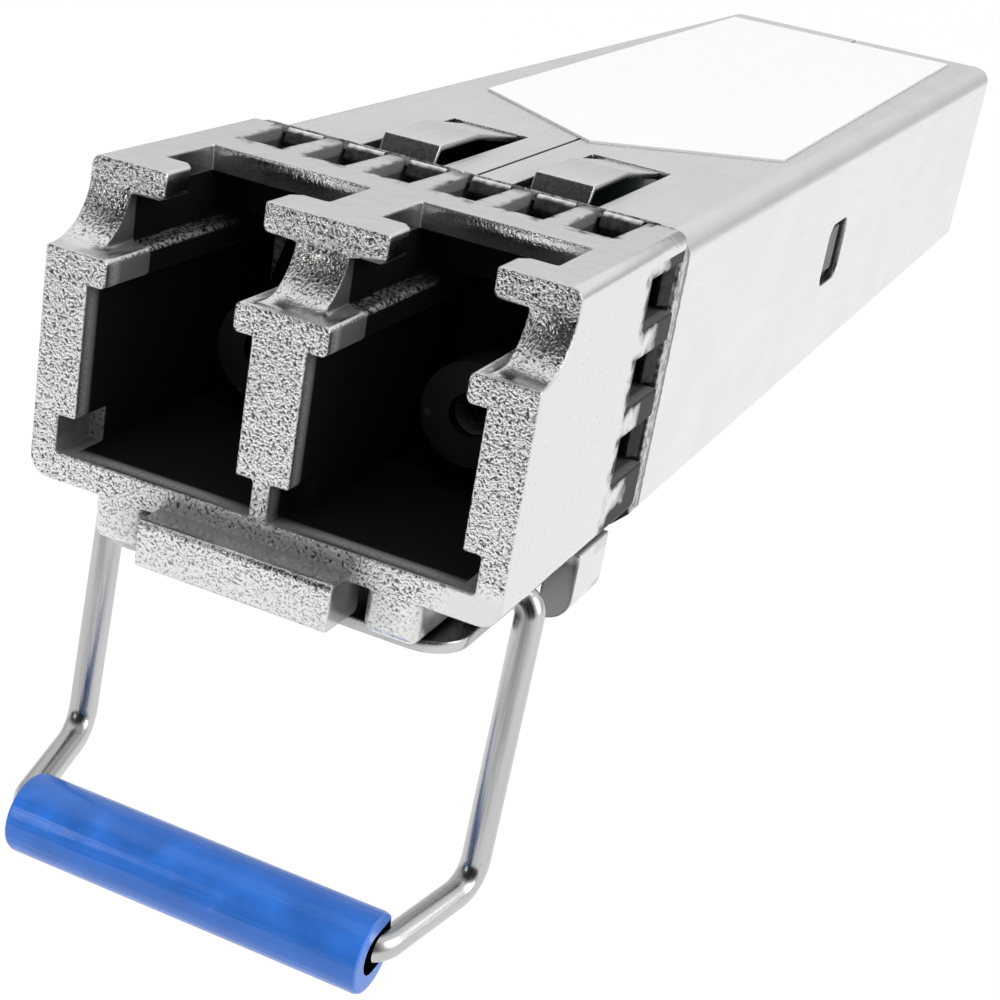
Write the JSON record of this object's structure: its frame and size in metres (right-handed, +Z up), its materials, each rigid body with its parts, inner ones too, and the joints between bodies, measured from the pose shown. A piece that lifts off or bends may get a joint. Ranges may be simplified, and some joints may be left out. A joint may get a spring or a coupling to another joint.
{
  "type": "sfp transceiver",
  "caption": "Pluggable optical transceiver module with a duplex fibre receptacle, sheet metal cover, wire bail with a blue sleeve and a rocking latch plate.",
  "frame": {"origin": "centre of the body's cross-section at the plane where the cage's mouth stops the nose", "axes": "+X to the right seen from the fibre end, +Y into the cage along the module's length, +Z up"},
  "size_m": [0.0136, 0.0587, 0.0187],
  "materials": {
    "plated_casting": "nickel plated zinc die casting, grained on the front faces",
    "cover_steel": "satin stamped sheet",
    "latch_steel": "bright stamped sheet",
    "wire_steel": "bright drawn wire",
    "pin_steel": "ground bar",
    "blue_sleeve": "glossy moulded tube",
    "white_label": "blank coated film",
    "green_board": "solder mask over glass laminate",
    "gold_contact": "hard gold plating",
    "black_package": "moulded chip package",
    "passive_body": "small chip capacitors and resistors",
    "grey_pad": "soft thermal pad",
    "optic_metal": "drawn can",
    "white_ceramic": "ground zirconia",
    "amber_flex": "polyimide flexible circuit",
    "clamp_plastic": "moulded saddle",
    "receptacle_plastic": "moulded receptacle barrel"
  },
  "bodies": {
    "module": {"base_casting": "plated_casting", "cover_shell": "cover_steel", "label": "white_label", "latch_pin": "pin_steel", "latch_spring": "wire_steel", "circuit_board": "green_board", "edge_contacts_top": "gold_contact", "edge_contacts_bottom": "gold_contact", "laser_driver": "black_package", "receiver_amplifier": "black_package", "microcontroller": "black_package", "board_passives": "passive_body", "thermal_pad": "grey_pad", "optics_clamp": "clamp_plastic", "transmitter_barrel": "receptacle_plastic", "transmitter_can": "optic_metal", "transmitter_ferrule_sleeve": "white_ceramic", "transmitter_flex": "amber_flex", "receiver_barrel": "receptacle_plastic", "receiver_can": "optic_metal", "receiver_ferrule_sleeve": "white_ceramic", "receiver_flex": "amber_flex"},
    "latch": {"latch_plate": "latch_steel"},
    "bail": {"bail_wire": "wire_steel", "bail_sleeve": "blue_sleeve"}
  },
  "joints": [
    {"name": "bail_hinge", "type": "hinge", "parent": "module", "child": "bail", "pos_m": [0, -0.0054, -0.00435], "axis": [-1, 0, 0], "range_deg": [0, 84]},
    {"name": "latch_pivot", "type": "hinge", "parent": "module", "child": "latch", "pos_m": [0, -0.002, -0.0045], "axis": [1, 0, 0], "range_deg": [0, 6.3], "deforming": ["latch_spring"]}
  ],
  "couplings": [
    {"joint": "latch_pivot", "follows": "bail_hinge", "ratio": 0.075}
  ]
}
